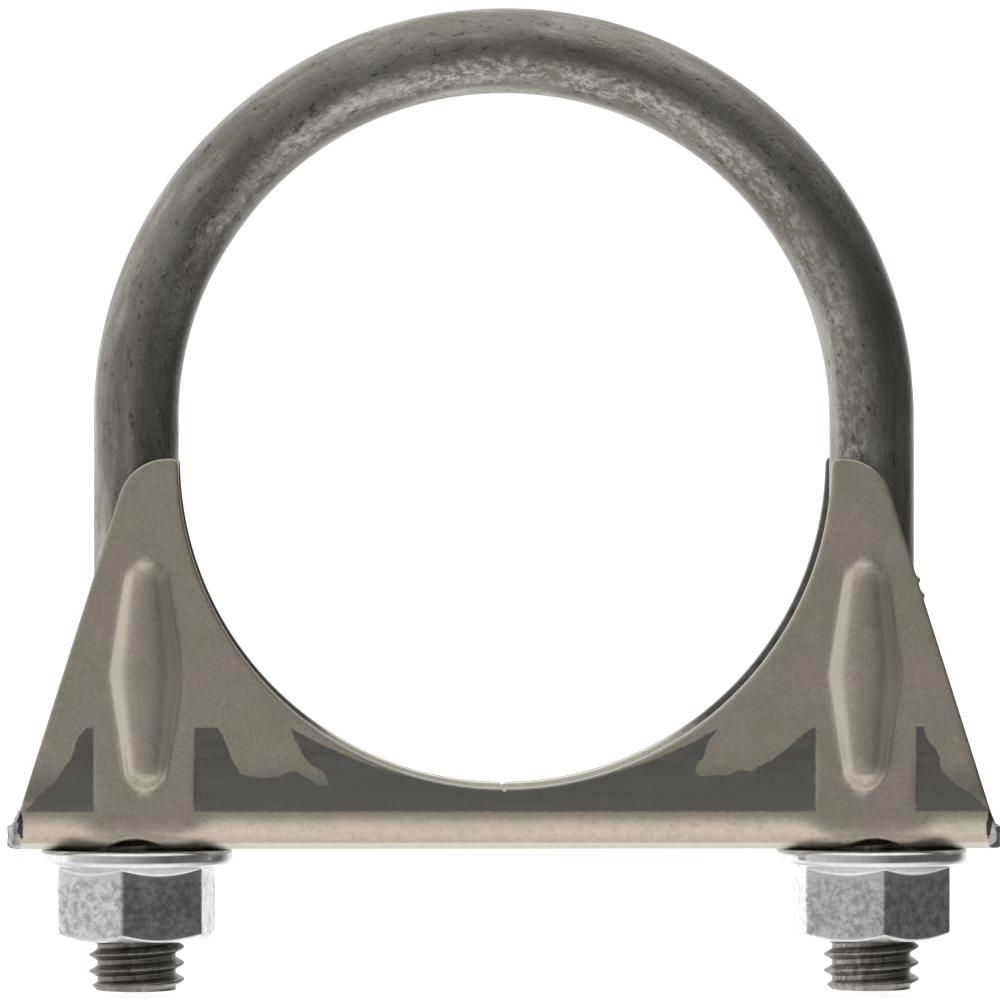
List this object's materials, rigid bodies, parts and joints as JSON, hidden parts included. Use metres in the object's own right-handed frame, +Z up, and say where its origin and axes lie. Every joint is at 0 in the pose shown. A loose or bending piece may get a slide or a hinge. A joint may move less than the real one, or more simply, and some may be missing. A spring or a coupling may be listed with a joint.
{
  "type": "u-bolt clamp",
  "caption": "U-bolt clamp for round tube: a threaded U-bolt through a pressed saddle with scalloped walls, held by hexagonal flange nuts.",
  "frame": {"origin": "on the axis of the clamped tube, which is the centre of the saddle's scallop, midway between the saddle's walls", "axes": "+X from the left leg to the right leg, +Y along the clamped tube, +Z up from the saddle towards the bow"},
  "size_m": [0.0972, 0.0188, 0.096],
  "materials": {
    "bolt_steel": "plain hot-rolled steel with dark mill scale, worn bright along the inside of the bow",
    "saddle_steel": "satin pressed steel sheet with dark scale left where the die did not touch",
    "nut_zinc": "bright zinc plating, slightly mottled"
  },
  "bodies": {
    "saddle": {"saddle": "saddle_steel"},
    "u_bolt": {"u_bolt": "bolt_steel"},
    "left_nut": {"left_nut": "nut_zinc"},
    "right_nut": {"right_nut": "nut_zinc"}
  },
  "joints": [
    {"name": "u_bolt_slide", "type": "slide", "parent": "saddle", "child": "u_bolt", "axis": [0, 0, 1], "range_m": [-0.00413, 0.00476]},
    {"name": "left_nut_turn", "type": "hinge", "parent": "saddle", "child": "left_nut", "pos_m": [-0.03595, 0, -0.042], "axis": [0, 0, 1], "range_deg": [-1081, 937]},
    {"name": "right_nut_turn", "type": "hinge", "parent": "saddle", "child": "right_nut", "pos_m": [0.03595, 0, -0.042], "axis": [0, 0, 1], "range_deg": [-1081, 937]}
  ],
  "couplings": [
    {"joint": "left_nut_turn", "follows": "u_bolt_slide", "rad_per_m": -3957.9},
    {"joint": "right_nut_turn", "follows": "u_bolt_slide", "rad_per_m": -3957.9}
  ]
}
